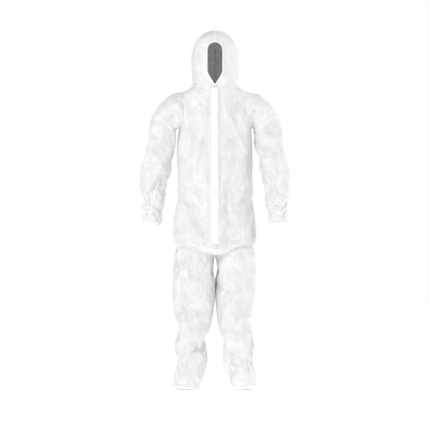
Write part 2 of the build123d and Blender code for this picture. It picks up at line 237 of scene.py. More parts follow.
def cutPlane(bm, point, normal, where, clear=False):
    # cuts the faces for which where(centre) holds, and drops what lies beyond the plane
    faces = [f for f in bm.faces if where(f.calc_center_median())]
    edges = dict.fromkeys(e for f in faces for e in f.edges)
    verts = dict.fromkeys(v for f in faces for v in f.verts)
    geom = [*faces, *edges, *verts]
    bmesh.ops.bisect_plane(bm, geom=geom, dist=1e-5, plane_co=point, plane_no=normal,
                           clear_outer=clear, clear_inner=False)


print("helpers ready")


def wristFrame(side):
    start, end = vec(side * 292, 0, -425), vec(side * 318, 0, -690)
    return end, (end - start).normalized()


def ankleFrame(side):
    start, end = vec(side * 109, 0, -1060), vec(side * 145, 0, -1505)
    return end, (end - start).normalized()


def cutOpenings(garment):
    bm = bmesh.new()
    bm.from_mesh(garment.data)
    for side in (1, -1):
        end, along = wristFrame(side)
        cutPlane(bm, end + along * cutShape["wristLength"], along,
                 lambda c, s=side: s * c.x > 0.245 and c.z < -0.6, clear=True)
        end, along = ankleFrame(side)
        cutPlane(bm, end + along * cutShape["ankleLength"], along,
                 lambda c, s=side: s * c.x > 0.02 and c.z < -1.4, clear=True)
        # the edge of the zip's slit
        cutPlane(bm, (side * suit["slitHalf"], 0, 0), (side, 0, 0),
                 lambda c: abs(c.x) < 0.03 and c.y < -0.05 and suit["slitEnd"] - 0.02 < c.z < 0.02)
    for height in (suit["slitTop"], suit["slitEnd"]):
        cutPlane(bm, (0, 0, height), (0, 0, 1), lambda c: abs(c.x) < 0.03 and c.y < -0.05)
    cutPlane(bm, (0, 0, 0), (1, 0, 0), lambda c: abs(c.x) < 0.03)
    for height in (suit["neckSeam"], suit["waistRing"]):
        cutPlane(bm, (0, 0, height), (0, 0, 1), lambda c: abs(c.x) < 0.2)
    cutPlane(bm, (0, 0, suit["legRing"]), (0, 0, 1), lambda c: abs(c.x) < 0.25)
    for side in (1, -1):
        cutPlane(bm, seamPoint(side), seamNormal(side), lambda c, s=side: nearSeam(c, s))
    cutPlane(bm, (0, 0, 0), (0, 1, 0), lambda c: panelOf(c)[1] in ("front", "back", "hipFront", "hipBack"))
    hole = [f for f in bm.faces if inSlit(f.calc_center_median()) or inFace(f.calc_center_median())]
    bmesh.ops.delete(bm, geom=hole, context="FACES")
    snapFaceRim(bm)
    bmesh.ops.dissolve_degenerate(bm, dist=0.4 * mm, edges=bm.edges)
    bm.to_mesh(garment.data)
    bm.free()


def seamPoint(side):
    return vec(side * 262, 0, -190)


def seamNormal(side):
    return Vector((side * 0.62, 0, -0.78)).normalized()


def nearSeam(c, side):
    # the sleeve's side of the gap between the sleeve and the body
    return side * c.x > 0.2 and (c - seamPoint(side)).length < 0.13


def inSlit(c):
    return abs(c.x) < suit["slitHalf"] and c.y < -0.05 and suit["slitEnd"] < c.z < suit["slitTop"]


def inFace(c):
    return c.y < -0.05 and 5 * mm < c.z < 216 * mm and abs(c.x) < faceHalf(c.z)


def snapFaceRim(bm):
    for v in bm.verts:
        if not v.is_boundary or v.co.y > -0.04 or not 3 * mm < v.co.z < 240 * mm:
            continue
        z = min(max(v.co.z, 6 * mm), 215.8 * mm)
        if z > 188 * mm:  # round the top, move out along the arch's own radius
            middle = Vector((0, 0, 176 * mm))
            flat = Vector((v.co.x, 0, v.co.z)) - middle
            flat = flat.normalized() * 40 * mm + middle
            v.co.x, v.co.z = flat.x, flat.z
        else:
            v.co.x = math.copysign(faceHalf(z), v.co.x)


# ---- how the cloth hangs
drape = {
    "frames": 34,
    "quality": 6,
    "mass": 0.05,
    "tension": 90,
    "compression": 90,
    "shear": 40,
    "bending": 4,
    "slack": -0.015,  # a negative shrink lets the cloth be this much larger than its cut
    "gravity": 0.15,
}


def pinWeight(co):
    # 1 where the cloth is held: along the zip, round the face, and in the gathered hems
    if abs(co.x) < suit["zipBandHalf"] and co.y < -0.05 and suit["slitEnd"] - 0.02 < co.z < 0.01:
        return 1.0
    if co.y < -0.03 and 0 < co.z < 240 * mm and abs(co.x) < faceHalf(min(co.z, 215 * mm)) + 5 * mm:
        return 1.0
    for side in (1, -1):
        for (end, along), extra in ((wristFrame(side), cutShape["wristLength"]),
                                    (ankleFrame(side), cutShape["ankleLength"])):
            offset = co - end
            height = offset.dot(along)
            if extra - 16 * mm < height < 0.12 and (offset - along * height).length < 0.09:
                return 1.0
    # elsewhere the wearer's posture keeps the cloth near its cut, less and less towards the cuffs
    if co.z > -0.03:
        return 0.35
    if abs(co.x) > 0.225 and co.z > -0.85:
        return 0.12 * min(1, max(0, (co.z + 0.5) / 0.22))
    return 0.06 * min(1, max(0, (co.z + 1.42) / 0.12))


def gatheredPlace(co):
    # where a pinned point of a hem ends up: pushed up the limb and drawn in by the elastic
    for side in (1, -1):
        for (end, along), extra, hem in ((wristFrame(side), cutShape["wristLength"], cutShape["wristHem"]),
                                         (ankleFrame(side), cutShape["ankleLength"], cutShape["ankleHem"])):
            offset = co - end
            height = offset.dot(along)
            out = offset - along * height
            if extra - 16 * mm < height < 0.12 and out.length < 0.09:
                angle = math.atan2(out.y, out.x)
                pleat = 1 + 0.03 * math.sin(26 * angle)
                flat = math.hypot(out.x, out.z)
                oval = Vector((out.x, 0, out.z)) * hem[0] + Vector((0, out.y, 0)) * hem[1]
                return end + along * (height - extra) + oval / math.hypot(flat, out.y) * pleat
    return co


def hangCloth(garment, wearer):
    pins = garment.vertex_groups.new(name="held")
    for v in garment.data.vertices:
        weight = pinWeight(v.co)
        if weight > 0:
            pins.add([v.index], weight, "REPLACE")
    garment.shape_key_add(name="cut")
    key = garment.shape_key_add(name="gathered")
    for v in garment.data.vertices:
        key.data[v.index].co = gatheredPlace(v.co)
    scene = bpy.context.scene
    for frame_, value in ((1, 0.0), (round(drape["frames"] * 0.6), 1.0)):
        key.value = value
        key.keyframe_insert("value", frame=frame_)
    hit = wearer.modifiers.new("wearer", "COLLISION")
    wearer.collision.thickness_outer = 3 * mm
    wearer.collision.cloth_friction = 8
    mod = garment.modifiers.new("hang", "CLOTH")
    cloth = mod.settings
    cloth.quality = drape["quality"]
    cloth.mass = drape["mass"]
    cloth.tension_stiffness = drape["tension"]
    cloth.compression_stiffness = drape["compression"]
    cloth.shear_stiffness = drape["shear"]
    cloth.bending_model = "ANGULAR"
    cloth.bending_stiffness = drape["bending"]
    cloth.tension_damping = cloth.compression_damping = 5
    cloth.air_damping = 2
    cloth.shrink_min = drape["slack"]
    cloth.vertex_group_mass = "held"
    cloth.effector_weights.gravity = drape["gravity"]
    mod.collision_settings.distance_min = 3 * mm
    mod.collision_settings.use_self_collision = False
    mod.point_cache.frame_start = 1
    mod.point_cache.frame_end = drape["frames"]
    for f in range(1, drape["frames"] + 1):
        scene.frame_set(f)
    graph = bpy.context.evaluated_depsgraph_get()
    hung = bpy.data.meshes.new_from_object(garment.evaluated_get(graph), depsgraph=graph)
    garment.modifiers.clear()
    garment.shape_key_clear()
    garment.data = hung
    wearer.modifiers.clear()
    scene.frame_set(1)



def panelOf(c):
    # the panel that a face of the cut suit belongs to, by its middle
    side = "left" if c.x > 0 else "right"
    sleeveFrom = 0.203 if c.z > -0.55 else 0.228
    if c.z > suit["neckSeam"]:
        kind = "hood"
    elif abs(c.x) > sleeveFrom and (c - seamPoint(sides[side])).dot(seamNormal(sides[side])) > 0:
        kind = "sleeve"
    elif c.z > suit["waistRing"]:
        kind = "front" if c.y < 0 else "back"
    elif c.z > suit["legRing"]:
        kind = "hipFront" if c.y < 0 else "hipBack"
    else:
        kind = "leg"
    return side, kind


def markPanels(garment):
    # the panels stay marked on the faces while the cloth moves; gives each one's flat area
    bm = bmesh.new()
    bm.from_mesh(garment.data)
    layer = bm.faces.layers.int.new("panel")
    areas = [0.0] * len(panelNames)
    for face in bm.faces:
        face[layer] = panelNames.index(panelOf(face.calc_center_median()))
        areas[face[layer]] += face.calc_area()
    bm.to_mesh(garment.data)
    bm.free()
    return dict(zip(panelNames, areas))


garment = solidForm("garment", cutShape, cutShape["body"], cutShape["hood"],
                    (cutShape["sleeve"], cutShape["leg"]), suit["voxel"], 3)
cutOpenings(garment)
cutAreas = markPanels(garment)
print("suit cut,", len(garment.data.vertices), "points")
wearer = solidForm("wearer", wearerShape, wearerShape["body"], wearerShape["head"],
                   (wearerShape["arm"], wearerShape["leg"]), 16 * mm, 4)
hangCloth(garment, wearer)
dropPiece(wearer)
print("cloth hung")

# ---- creases: soft upright folds, sharp crinkles, and the folds that run where the cloth is pulled
creases = {
    "softHeight": 1.5 * mm,
    "softSize": (38 * mm, 38 * mm, 170 * mm),
    "crinkleHeight": 0.9 * mm,
    "crinkleSize": (17 * mm, 17 * mm, 30 * mm),
    "pullWidth": 12 * mm,
    # each pull is a line of (x, z) on the front, with its height
    "pulls": [([(28, -15), (60, -125), (150, -320)], 7.5), ([(-32, -60), (-55, -210), (-97, -380)], 6.5),
              ([(60, -30), (120, -110), (165, -160)], 3.0), ([(-55, -28), (-125, -100), (-175, -170)], 3.5),
              ([(-150, -70), (-185, -190), (-180, -300)], 4.0), ([(172, -90), (188, -150)], 3.5),
              ([(40, -300), (62, -470), (90, -640)], 2.6), ([(-50, -420), (-66, -560), (-110, -700)], 2.6),
              ([(10, -812), (75, -790), (150, -765)], 2.4), ([(-12, -808), (-80, -790), (-160, -755)], 2.2),
              ([(70, -1220), (110, -1238), (170, -1228)], 3.4), ([(80, -1345), (125, -1358), (175, -1340)], 3.4),
              ([(-150, -1130), (-120, -1240), (-130, -1360)], 3.0), ([(-90, -1150), (-85, -1280)], 2.6)],
    "waistGather": 2.2 * mm,
    "waistDraw": 7 * mm,
    "waistHeight": 34 * mm,
    "gatherPitch": 15 * mm,
}


def distanceToLine(x, z, points):
    best = 1.0
    for (ax, az), (bx, bz) in zip(points, points[1:]):
        ax, az, bx, bz = ax * mm, az * mm, bx * mm, bz * mm
        t = ((x - ax) * (bx - ax) + (z - az) * (bz - az)) / ((bx - ax) ** 2 + (bz - az) ** 2)
        t = min(1, max(0, t))
        best = min(best, math.hypot(x - ax - t * (bx - ax), z - az - t * (bz - az)))
    return best


def creaseHeight(co):
    sx, sy, sz = creases["softSize"]
    height = creases["softHeight"] * noise.noise(Vector((co.x / sx, co.y / sy, co.z / sz)))
    sx, sy, sz = creases["crinkleSize"]
    ridge = 1 - 2 * abs(noise.noise(Vector((co.x / sx, co.y / sy + 7, co.z / sz))))
    height += creases["crinkleHeight"] * max(0, ridge) ** 2
    if co.y < -0.02 and abs(co.x) < 0.21:
        for points, rise in creases["pulls"]:
            near = distanceToLine(co.x, co.z, points) / creases["pullWidth"]
            if near < 3:
                height += rise * mm * math.exp(-near * near)
    if co.y > 0.04 and abs(co.x) < 0.2:
        near = (co.z - suit["waistRing"]) / creases["waistHeight"]
        if abs(near) < 3:
            gather = math.sin(co.x / creases["gatherPitch"] * 2 * math.pi) * creases["waistGather"]
            height += (gather - creases["waistDraw"]) * math.exp(-near * near)
    return height


def creaseCloth(garment):
    mod = garment.modifiers.new("finer", "SUBSURF")
    mod.levels = mod.render_levels = 1
    applyModifiers(garment)
    moved = []
    for v in garment.data.vertices:
        free = 1 - heldFlat(v.co)
        moved.append(v.co + v.normal * creaseHeight(v.co) * free if free else v.co.copy())
    for v, place in zip(garment.data.vertices, moved):
        v.co = place


def heldFlat(co):
    # 1 on the flat cloth beside the zip, round the face opening and inside the hems, falling to 0 beyond
    for side in (1, -1):
        for end, along in (wristFrame(side), ankleFrame(side)):
            offset = co - end
            if offset.length < 0.11 and offset.dot(along) > -40 * mm:
                return min(1, (offset.dot(along) + 40 * mm) / (18 * mm))
    if co.y > -0.05:
        return 0
    if suit["slitEnd"] - 0.02 < co.z < 0.01:
        return min(1, max(0, (34 * mm - abs(co.x)) / (8 * mm)))
    if 0 < co.z < 240 * mm:
        rim = abs(co.x) - faceHalf(min(co.z, 215 * mm))
        return min(1, max(0, (20 * mm - rim) / (14 * mm)))
    return 0


creaseCloth(garment)
print("cloth creased,", len(garment.data.vertices), "points")


# ---- materials
class Wire:
    # one output socket, so that shader maths reads as an expression
    def __init__(self, paint, socket):
        self.paint, self.socket = paint, socket

    def maths(self, operation, first, second):
        return self.paint.node("ShaderNodeMath", {"operation": operation}, {0: first, 1: second})

    def __add__(self, other):
        return self.maths("ADD", self, other)

    def __sub__(self, other):
        return self.maths("SUBTRACT", self, other)

    def __rsub__(self, other):
        return self.maths("SUBTRACT", other, self)

    def __mul__(self, other):
        return self.maths("MULTIPLY", self, other)

    def __pow__(self, other):
        return self.maths("POWER", self, other)

    __radd__ = __add__
    __rmul__ = __mul__


class Paint:
    # a node material; node() makes any node, sets it up and joins its inputs
    def __init__(self, name, shader):
        self.material = bpy.data.materials.new(name)
        self.material.use_nodes = True
        self.tree = self.material.node_tree
        self.surface = self.tree.nodes["Principled BSDF"]
        for socket, value in shader.items():
            self.surface.inputs[socket].default_value = value

    def node(self, kind, settings=None, inputs=None, out=0):
        made = self.tree.nodes.new(kind)
        for key, value in (settings or {}).items():
            if key == "stops":
                ramp = made.color_ramp.elements
                while len(ramp) < len(value):
                    ramp.new(0.5)
                for stop, (place, level) in zip(ramp, value):
                    stop.position, stop.color = place, (level, level, level, 1)
            else:
                setattr(made, key, value)
        for key, value in (inputs or {}).items():
            self.join(value, made.inputs[key])
        return Wire(self, made.outputs[out])

    def join(self, value, socket):
        if isinstance(value, Wire):
            self.tree.links.new(value.socket, socket)
        else:
            socket.default_value = value

    def object(self, scale, turn=(0, 0, 0)):
        place = self.node("ShaderNodeTexCoord", out=3)
        return self.node("ShaderNodeMapping", {}, {"Vector": place, "Scale": scale, "Rotation": turn})

    def noise(self, scale, detail=3.0, size=1.0, rough=0.55):
        return self.node("ShaderNodeTexNoise", {}, {"Vector": self.object(scale), "Scale": size,
                                                    "Detail": detail, "Roughness": rough})

    def cells(self, scale, feature="F1"):
        return self.node("ShaderNodeTexVoronoi", {"feature": feature}, {"Vector": self.object(scale), "Scale": 1.0})

    def ramp(self, value, *stops):
        return self.node("ShaderNodeValToRGB", {"stops": stops}, {"Fac": value})

    def blend(self, amount, first, second):
        mixed = self.node("ShaderNodeMix", {"data_type": "RGBA"}, {"Factor": amount, 6: first, 7: second}, out=2)
        return mixed

    def attribute(self, name):
        return self.node("ShaderNodeAttribute", {"attribute_name": name}, {}, out=2)

    def bump(self, height, distance, strength=1.0):
        normal = self.node("ShaderNodeBump", {}, {"Height": height, "Distance": distance, "Strength": strength})
        self.join(normal, self.surface.inputs["Normal"])

    def colour(self, value):
        self.join(value, self.surface.inputs["Base Color"])

    def roughness(self, value):
        self.join(value, self.surface.inputs["Roughness"])


def grey(level, warm=0.0):
    return (level + warm, level, level - warm, 1)


spunbond = {
    "light": grey(0.84, 0.004),
    "shade": grey(0.70, 0.005),
    "bond": 1.1 * mm,  # pitch of the points where the fibres are melted together
    "crinkle": 11 * mm,
}


def spunbondPaint(name, light, shade, stitched=False):
    # bonded fibres: cloudy in thickness, streaked along the roll, creased, with rows of small bond points
    paint = Paint(name, {"Specular IOR Level": 0.32, "Sheen Weight": 0.12, "Sheen Roughness": 0.5,
                         "Subsurface Weight": 0.18, "Subsurface Radius": (0.004, 0.004, 0.004), "Subsurface Scale": 1.0})
    clouds = paint.noise((26, 26, 17), detail=5.0)
    streaks = paint.noise((210, 210, 9), detail=3.0)
    fibres = paint.noise((900, 900, 500), detail=2.0)
    pitch = 1 / spunbond["bond"]
    bonds = paint.ramp(paint.cells((pitch, pitch, pitch)), (0.18, 0), (0.42, 1))
    fine = 1 / spunbond["crinkle"]
    veins = paint.ramp(paint.cells((fine, fine, fine * 0.55), "DISTANCE_TO_EDGE"), (0.0, 1), (0.09, 0))
    wide = fine * 0.4
    folds = paint.ramp(paint.cells((wide, wide, wide * 0.5), "DISTANCE_TO_EDGE"), (0.0, 1), (0.06, 0))
    mottle = clouds * 0.9 + streaks * 0.55 - 0.5
    tone = paint.blend(paint.ramp(mottle, (0.05, 0), (0.42, 1)), shade, light)
    ridges = veins * 0.22 + folds * 0.3
    paint.colour(paint.blend(ridges, tone, grey(min(1, light[1] + 0.09))))
    height = clouds * 0.5 + streaks * 0.22 + veins * 0.28 + folds * 0.45 + bonds * 0.06 + fibres * 0.05
    if stitched:
        along, across = paint.attribute("along"), paint.attribute("across")
        turns = paint.node("ShaderNodeMath", {"operation": "SINE"}, {0: along * (2 * math.pi / (2.6 * mm)) + across * 2.2})
        rows = paint.ramp(turns * 0.5 + 0.5, (0.55, 0), (0.8, 1))
        height = height + rows * 0.5
    paint.roughness(paint.ramp(clouds, (0.3, 0.62), (0.7, 0.8)))
    paint.bump(height, 0.9 * mm, 0.85)
    return paint.material


def elasticPaint():
    paint = Paint("ribbed elastic", {"Specular IOR Level": 0.3})
    ribs = paint.noise((400, 400, 2600), detail=2.0)
    paint.colour(paint.blend(ribs, grey(0.62), grey(0.8)))
    paint.roughness(paint.ramp(ribs, (0.2, 0.7), (0.8, 0.9)))
    paint.bump(ribs, 0.4 * mm)
    return paint.material


def tapePaint():
    # a woven tape: fine ribs across it and a twill on top
    paint = Paint("woven zip tape", {"Specular IOR Level": 0.25})
    ribs = paint.node("ShaderNodeTexWave", {"wave_type": "BANDS", "bands_direction": "Z"},
                      {"Vector": paint.object((1, 1, 1)), "Scale": 320.0, "Distortion": 0.6})
    twill = paint.node("ShaderNodeTexWave", {"wave_type": "BANDS", "bands_direction": "DIAGONAL"},
                       {"Vector": paint.object((1, 0, 1)), "Scale": 240.0, "Distortion": 0.2})
    weave = ribs * 0.6 + twill * 0.4
    paint.colour(paint.blend(weave, grey(0.7), grey(0.84)))
    paint.roughness(paint.ramp(weave, (0.2, 0.7), (0.8, 0.85)))
    paint.bump(weave, 0.3 * mm)
    return paint.material


def teethPaint():
    # a nylon coil seen from the front: round turns, one every few threads, painted dark in the gaps between turns as
    # shade and light on their crowns as highlight
    paint = Paint("nylon zip teeth", {"Specular IOR Level": 0.5, "Coat Weight": 0.1})
    turns = paint.node("ShaderNodeTexWave", {"wave_type": "BANDS", "bands_direction": "Z", "wave_profile": "SIN"},
                       {"Vector": paint.object((1, 1, 1)), "Scale": 150.0, "Distortion": 0.0})
    # painted shade and highlight: the colour follows the turns, dark in the gaps and light on the crowns
    paint.colour(paint.blend(turns, grey(0.5), grey(0.84)))
    paint.roughness(paint.ramp(turns, (0.1, 0.5), (0.9, 0.32)))
    paint.bump(turns, 0.9 * mm)
    return paint.material


def metalPaint():
    paint = Paint("painted zip metal", {"Metallic": 0.35, "Specular IOR Level": 0.5, "Coat Weight": 0.25})
    wear = paint.noise((260, 260, 260), detail=4.0)
    paint.colour(paint.blend(paint.ramp(wear, (0.55, 0), (0.72, 1)), grey(0.8), grey(0.6, 0.01)))
    paint.roughness(paint.ramp(wear, (0.3, 0.28), (0.7, 0.5)))
    paint.bump(wear, 0.12 * mm)
    return paint.material


def labelPaint():
    paint = Paint("blank satin label", {"Specular IOR Level": 0.4, "Sheen Weight": 0.2})
    weave = paint.noise((1500, 1500, 2600), detail=1.0)
    paint.colour(paint.blend(weave, grey(0.76), grey(0.88)))
    paint.roughness(paint.ramp(weave, (0.2, 0.5), (0.8, 0.65)))
    paint.bump(weave, 0.1 * mm)
    return paint.material


paints = {
    "cloth": spunbondPaint("spunbond cloth", spunbond["light"], spunbond["shade"]),
    "folded_cloth": spunbondPaint("folded cloth", grey(0.93), grey(0.84), stitched=True),
    "elastic": elasticPaint(),
    "zip_tape": tapePaint(),
    "zip_teeth": teethPaint(),
    "zip_metal": metalPaint(),
    "label": labelPaint(),
}
print("materials made")

# ---- each kind of panel: the body above, the body below, and where the turn starts and ends
bends = {
    "hood": ("trunk", "hood", vec(0, 0, 6), vec(0, 0, 60)),
    "sleeve": ("upper_arm", "forearm", vec(0, 0, -340), vec(0, 0, -510)),
    "hip": ("trunk", "thigh", vec(0, 0, -822), vec(0, 0, -918)),
    "leg": ("thigh", "shin", vec(0, 0, -963), vec(0, 0, -1157)),
}
shoulder = {
    "point": (207, 0, -115),
    "across": (0.95, 0, 0.3),  # the way from the body into the sleeve
    "reach": 40 * mm,
}


def shoulderTurn(side):
    # the turn ends at the armhole seam's nearest point
    across = Vector((sides[side] * shoulder["across"][0], 0, shoulder["across"][2])).normalized()
    point = vec(sides[side] * shoulder["point"][0], 0, shoulder["point"][2])
    nearest = min((p - point).dot(across) for p, _ in armholeLoops[side])
    return point + across * (nearest - shoulder["reach"]), point + across * nearest


def bend(piece, kind, side):
    if kind == "shoulder":
        start, end = shoulderTurn(side)
        side + "_upper_arm"
        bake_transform(piece)
        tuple(start)
        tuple(end)
        return
    above, below, start, end = bends[kind]
    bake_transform(piece)
    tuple(start)
    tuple(end)


def dress(piece, slot, *nodes):
    piece.data.materials.clear()
    piece.data.materials.append(paints[slot])
    if nodes:
        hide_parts(*nodes)
    return piece


# ---- seams
seamBand = {
    "width": 7.5 * mm,
    "height": 1.6 * mm,
    "step": 5 * mm,
    "lift": 0.3 * mm,
}


def chainOf(bm, layer, first, second):
    # the points and outward normals along the line where two sets of panels meet, in order
    joined = {}
    for e in bm.edges:
        if len(e.link_faces) == 2:
            a, b = (f[layer] for f in e.link_faces)
            if (a in first and b in second) or (b in first and a in second):
                for v, w in (e.verts, reversed(e.verts)):
                    joined.setdefault(v, []).append(w)
    chains = []
    left = set(joined)
    while left:
        ends = [v for v in left if len(joined[v]) == 1]
        at = min(ends or left, key=lambda v: v.index)
        chain = [at]
        left.discard(at)
        while True:
            ahead = [w for w in joined[at] if w in left]
            if not ahead:
                break
            at = ahead[0]
            left.discard(at)
            chain.append(at)
        chains.append(chain)
    longest = max(chains, key=len)
    closed = longest[0] in joined[longest[-1]] and len(longest) > 4
    return [(v.co.copy(), v.normal.copy()) for v in longest], closed


def evenPath(path, step, closed, smooth=3):
    # the same line in steps of one length, with its zigzags smoothed away
    points = [p for p, _ in path] + ([path[0][0]] if closed else [])
    normals = [n for _, n in path] + ([path[0][1]] if closed else [])
    lengths = [0.0]
    for a, b in zip(points, points[1:]):
        lengths.append(lengths[-1] + (b - a).length)
    count = max(4, round(lengths[-1] / step))
    even, at = [], 0
    for i in range(count if closed else count + 1):
        want = lengths[-1] * i / count
        while at < len(points) - 2 and lengths[at + 1] < want:
            at += 1
        t = (want - lengths[at]) / max(1e-9, lengths[at + 1] - lengths[at])
        even.append((points[at].lerp(points[at + 1], t), normals[at].lerp(normals[at + 1], t).normalized()))
    for _ in range(smooth):
        ends = range(len(even)) if closed else range(1, len(even) - 1)
        calmed = list(even)
        for i in ends:
            before, after = even[i - 1], even[(i + 1) % len(even)]
            calmed[i] = ((before[0] + even[i][0] * 2 + after[0]) / 4,
                         (before[1] + even[i][1] * 2 + after[1]).normalized())
        even = calmed
    return even


def bandAlong(name, path, closed, width, height, lift, square=0.7, segments=12, ripple=None):
    # a flat band that follows a line on the cloth; ripple(i) gives its swell and shift at each step
    bm = bmesh.new()
    alongLayer = bm.verts.layers.float.new("along")
    acrossLayer = bm.verts.layers.float.new("across")
    loops, walked = [], 0.0
    for i, (point, normal) in enumerate(path):
        before = path[i - 1] if closed or i else path[0]
        after = path[(i + 1) % len(path)] if closed or i < len(path) - 1 else path[-1]
        tangent = (after[0] - before[0]).normalized()
        across = tangent.cross(normal).normalized()
        out = across.cross(tangent).normalized()
        swell, shift = ripple(i) if ripple else (1.0, 0.0)
        made = bmesh.ops.create_circle(bm, segments=segments, radius=1)["verts"]
        for v in made:
            x, y = (math.copysign(abs(a) ** square, a) for a in (v.co.x, v.co.y))
            v.co = point + across * x * width / 2 + out * (y * height * swell / 2 + lift + shift)
            v[alongLayer], v[acrossLayer] = walked, x
        loops.append(list(dict.fromkeys(e for v in made for e in v.link_edges)))
        walked += (after[0] - point).length
    for first, second in zip(loops, loops[1:] + (loops[:1] if closed else [])):
        bmesh.ops.bridge_loops(bm, edges=first + second)
    if not closed:
        for loop in (loops[0], loops[-1]):
            bmesh.ops.contextual_create(bm, geom=loop)
    bmesh.ops.recalc_face_normals(bm, faces=bm.faces)
    for face in bm.faces:
        face.smooth = True
    return newPiece(name, bm)


def seam(name, path, closed, slot="folded_cloth", nodes=(), width=None, height=None, lift=None, gather=0.0):
    even = evenPath(path, seamBand["step"], closed)
    ripple = None
    if gather:
        ripple = lambda i: (1 + 0.5 * noise.noise(Vector((i * 0.9, 3, 0))), gather * math.sin(i * 2.1))
    piece = bandAlong(name, even, closed, width or seamBand["width"], height or seamBand["height"],
                      seamBand["lift"] if lift is None else lift, ripple=ripple)
    return dress(piece, slot, *nodes)


cloth = bmesh.new()
cloth.from_mesh(garment.data)
cloth.normal_update()
panelLayer = cloth.faces.layers.int["panel"]
surface = BVHTree.FromBMesh(cloth)


def faceRim(bm):
    # the points round the face opening, in order
    edges = {e for e in bm.edges if e.is_boundary and all(v.co.z > 2 * mm and v.co.y < -0.04 for v in e.verts)}
    edge = min(edges, key=lambda e: e.index)
    at, chain = edge.verts[0], []
    while edge:
        edges.discard(edge)
        chain.append(at)
        at = edge.other_vert(at)
        edge = next((e for e in at.link_edges if e in edges), None)
    return chain


def panelIds(*wanted):
    return {panelNames.index(p) for p in wanted}


armholeLoops = {}
for side in sides:
    loop, closed = chainOf(cloth, panelLayer, panelIds((side, "sleeve")), panelIds((side, "front"), (side, "back")))
    armholeLoops[side] = loop


# ---- the panels themselves
panel = {
    "thickness": 0.5 * mm,
    "sharpFrom": math.radians(58),
}
# the CAD parts that each kind of panel stands in for, hidden when the panel is dressed
stands = {
    "hood": ["hood_panel"],
    "sleeve": ["sleeve_head", "upper_sleeve", "lower_sleeve"],
    "front": ["front_panel"],
    "back": ["back_panel"],
    "hipFront": ["leg_top"],
    "hipBack": ["upper_leg"],
    "leg": ["lower_leg"],
}
pieceNames = {"hipFront": "hip_front", "hipBack": "hip_back"}
turns = {"front": "shoulder", "back": "shoulder", "hipFront": "hip", "hipBack": "hip"}


def makePanel(side, kind):
    bm = cloth.copy()
    mine = panelNames.index((side, kind))
    layer = bm.faces.layers.int["panel"]
    bmesh.ops.delete(bm, geom=[f for f in bm.faces if f[layer] != mine], context="FACES")
    for face in bm.faces:
        face.smooth = True
    piece = newPiece(f"{side}_{pieceNames.get(kind, kind)}_cloth", bm)
    mod = piece.modifiers.new("thickness", "SOLIDIFY")
    mod.thickness = panel["thickness"]
    mod.offset = -1
    applyModifiers(piece)
    piece.data.set_sharp_from_angle(angle=panel["sharpFrom"])
    dress(piece, "cloth", *[f"{side}_{node}" for node in stands[kind]])
    bend(piece, turns.get(kind, kind), side)
    return piece


panels = {(side, kind): makePanel(side, kind) for side, kind in panelNames}
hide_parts("crotch_gusset")
print("panels made")

# ---- sewn seams
trims = {name: [] for name in panelNames}


def trim(side, kind, piece):
    trims[side, kind].append(piece)
    return piece


def insidePath(points, way):
    # where a line of points inside a tube meets its wall, looking one way
    path = []
    for point in points:
        hit, normal, _, _ = surface.ray_cast(point, way)
        if hit and (hit - point).length < 0.14:
            path.append((hit, normal if normal.dot(way) > 0 else -normal))
    return path


def frontPath(points):
    path = []
    for x, z in points:
        hit, normal, _, _ = surface.ray_cast(vec(x, -400, z), Vector((0, 1, 0)))
        if hit:
            path.append((hit, normal))
    return path


def between(first, last, count):
    return [[a + (b - a) * i / (count - 1) for a, b in zip(first, last)] for i in range(count)]


for side, sign in sides.items():
    band = trim(side, "sleeve", seam(f"{side}_armhole_seam_band", armholeLoops[side], True,
                                     nodes=[f"{side}_armhole_seam"], height=2.2 * mm, width=8 * mm))
    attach(band, f"{side}_upper_arm")
    path, _ = chainOf(cloth, panelLayer, panelIds((side, "front")), panelIds((side, "back")))
    bend(trim(side, "back", seam(f"{side}_side_seam", path, False)), "shoulder", side)
    path, _ = chainOf(cloth, panelLayer, panelIds((side, "hipFront")), panelIds((side, "hipBack")))
    bend(trim(side, "hipBack", seam(f"{side}_hip_seam", path, False)), "hip", side)
    middles = [vec(sign * x, 0, z) for x, z in between((107, -940), (109, -1060), 20) + between((110, -1066), (142, -1470), 70)]
    bend(trim(side, "leg", seam(f"{side}_outer_leg_seam", insidePath(middles, Vector((sign, 0, 0))), False)), "leg", side)
    bend(trim(side, "leg", seam(f"{side}_inner_leg_seam", insidePath(middles, Vector((-sign, 0, 0))), False)), "leg", side)
    middles = [vec(sign * x, 0, z) for x, z in between((268, -225), (292, -425), 36) + between((293, -431), (314, -655), 40)]
    bend(trim(side, "sleeve", seam(f"{side}_sleeve_seam", insidePath(middles, Vector((-sign, 0, 0))), False)), "sleeve", side)

path, _ = chainOf(cloth, panelLayer, panelIds(("left", "back")), panelIds(("right", "back")))
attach(trim("left", "back", seam("centre_back_seam", path, False)), "trunk")
path, _ = chainOf(cloth, panelLayer, panelIds(("left", "hipBack")), panelIds(("right", "hipBack")))
bend(trim("left", "hipBack", seam("seat_seam", path, False)), "hip", "left")
path, _ = chainOf(cloth, panelLayer, panelIds(("left", "hipFront")), panelIds(("right", "hipFront")))
bend(trim("left", "hipFront", seam("fly_seam", path, False)), "hip", "left")
path, _ = chainOf(cloth, panelLayer, panelIds(("left", "hood")), panelIds(("right", "hood")))
bend(trim("left", "hood", seam("hood_crown_seam", path, False)), "hood", "left")
path, closed = chainOf(cloth, panelLayer, panelIds(("left", "hood"), ("right", "hood")),
                       panelIds(("left", "front"), ("left", "back"), ("right", "front"), ("right", "back")))
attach(trim("left", "hood", seam("neck_seam", path, closed, "cloth", ["collar"], width=5 * mm)), "trunk")
path, closed = chainOf(cloth, panelLayer, panelIds(("left", "back"), ("right", "back")),
                       panelIds(("left", "hipBack"), ("right", "hipBack")))
path = [(p, n) for p, n in path if p.y > 0.03]
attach(trim("left", "back", seam("waist_elastic_casing", path, False, nodes=["waist_elastic"], width=24 * mm,
                                  height=3 * mm, gather=0.8 * mm)), "trunk")
print("seams sewn")

